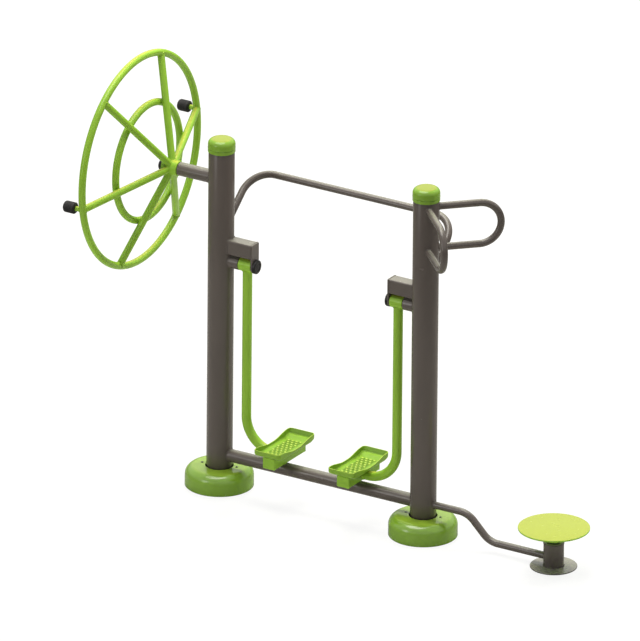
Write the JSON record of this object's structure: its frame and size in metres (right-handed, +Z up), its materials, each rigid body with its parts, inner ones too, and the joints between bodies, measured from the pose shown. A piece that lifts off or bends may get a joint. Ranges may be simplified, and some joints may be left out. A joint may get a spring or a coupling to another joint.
{
  "type": "outdoor air walker",
  "caption": "Outdoor fitness station: air walker with swinging foot trays between posts, arm wheel, grab loops and a waist twister.",
  "frame": {"origin": "axis of the left post on the ground, at the centre of its anchor hole circle", "axes": "+X towards the right post and the twister, +Y towards the handrail, +Z up"},
  "size_m": [2.3449, 0.978, 1.9089],
  "materials": {
    "brown_paint": "gloss powder coat",
    "green_paint": "gloss powder coat",
    "green_plastic": "gloss moulded",
    "green_tray": "cast and powder coated",
    "black_plastic": "satin moulded",
    "bright_steel": "zinc plated",
    "dark_steel": "blackened"
  },
  "bodies": {
    "frame": {"left_post": "brown_paint", "right_post": "brown_paint", "left_post_cap": "green_plastic", "right_post_cap": "green_plastic", "left_base_flange": "brown_paint", "right_base_flange": "brown_paint", "left_cover_front": "green_plastic", "left_cover_back": "green_plastic", "right_cover_front": "green_plastic", "right_cover_back": "green_plastic", "cover_screws": "dark_steel", "lower_crossbar": "brown_paint", "handrail": "brown_paint", "front_grab_loop": "brown_paint", "back_grab_loop": "brown_paint", "left_bracket_arm": "brown_paint", "left_bracket_plate": "brown_paint", "left_pivot_boss": "brown_paint", "left_pivot_axle": "bright_steel", "left_axle_cap": "black_plastic", "right_bracket_arm": "brown_paint", "right_bracket_plate": "brown_paint", "right_pivot_boss": "brown_paint", "right_pivot_axle": "bright_steel", "right_axle_cap": "black_plastic", "axle_nuts": "bright_steel", "wheel_arm_tube": "brown_paint", "wheel_spindle": "bright_steel", "twister_link_tube": "brown_paint", "twister_base_plate": "brown_paint", "twister_pillar": "brown_paint", "twister_spindle": "brown_paint"},
    "left_leg": {"left_leg_sleeve": "green_paint", "left_leg_bearings": "bright_steel", "left_leg_tube": "green_paint", "left_tray_carrier": "green_paint", "left_carrier_ends": "green_paint", "left_foot_tray": "green_tray", "left_tray_bolts": "green_paint"},
    "right_leg": {"right_leg_sleeve": "green_paint", "right_leg_bearings": "bright_steel", "right_leg_tube": "green_paint", "right_tray_carrier": "green_paint", "right_carrier_ends": "green_paint", "right_foot_tray": "green_tray", "right_tray_bolts": "green_paint"},
    "wheel": {"wheel_rim": "green_paint", "wheel_inner_ring": "green_paint", "wheel_spokes": "green_paint", "wheel_hub": "green_paint", "wheel_bearings": "bright_steel", "wheel_hub_cap": "black_plastic", "grip_stubs": "green_paint"},
    "front_grip": {"front_grip": "black_plastic"},
    "back_grip": {"back_grip": "black_plastic"},
    "twister": {"twister_disc": "green_paint", "twister_housing": "green_paint", "twister_bearings": "bright_steel"}
  },
  "joints": [
    {"name": "left_leg_swing", "type": "hinge", "parent": "frame", "child": "left_leg", "pos_m": [0.135, 0, 1.052], "axis": [1, 0, 0], "range_deg": [-50, 50]},
    {"name": "right_leg_swing", "type": "hinge", "parent": "frame", "child": "right_leg", "pos_m": [0.895, 0, 1.052], "axis": [1, 0, 0], "range_deg": [-50, 50]},
    {"name": "wheel_spin", "type": "hinge", "parent": "frame", "child": "wheel", "pos_m": [-0.25, 0, 1.423], "axis": [1, 0, 0], "continuous": true},
    {"name": "front_grip_spin", "type": "hinge", "parent": "wheel", "child": "front_grip", "pos_m": [-0.48, -0.46355, 1.34543], "axis": [1, 0, 0], "continuous": true},
    {"name": "back_grip_spin", "type": "hinge", "parent": "wheel", "child": "back_grip", "pos_m": [-0.48, 0.46355, 1.50057], "axis": [1, 0, 0], "continuous": true},
    {"name": "twister_spin", "type": "hinge", "parent": "frame", "child": "twister", "pos_m": [1.686, 0, 0.15], "axis": [0, 0, 1], "continuous": true}
  ]
}
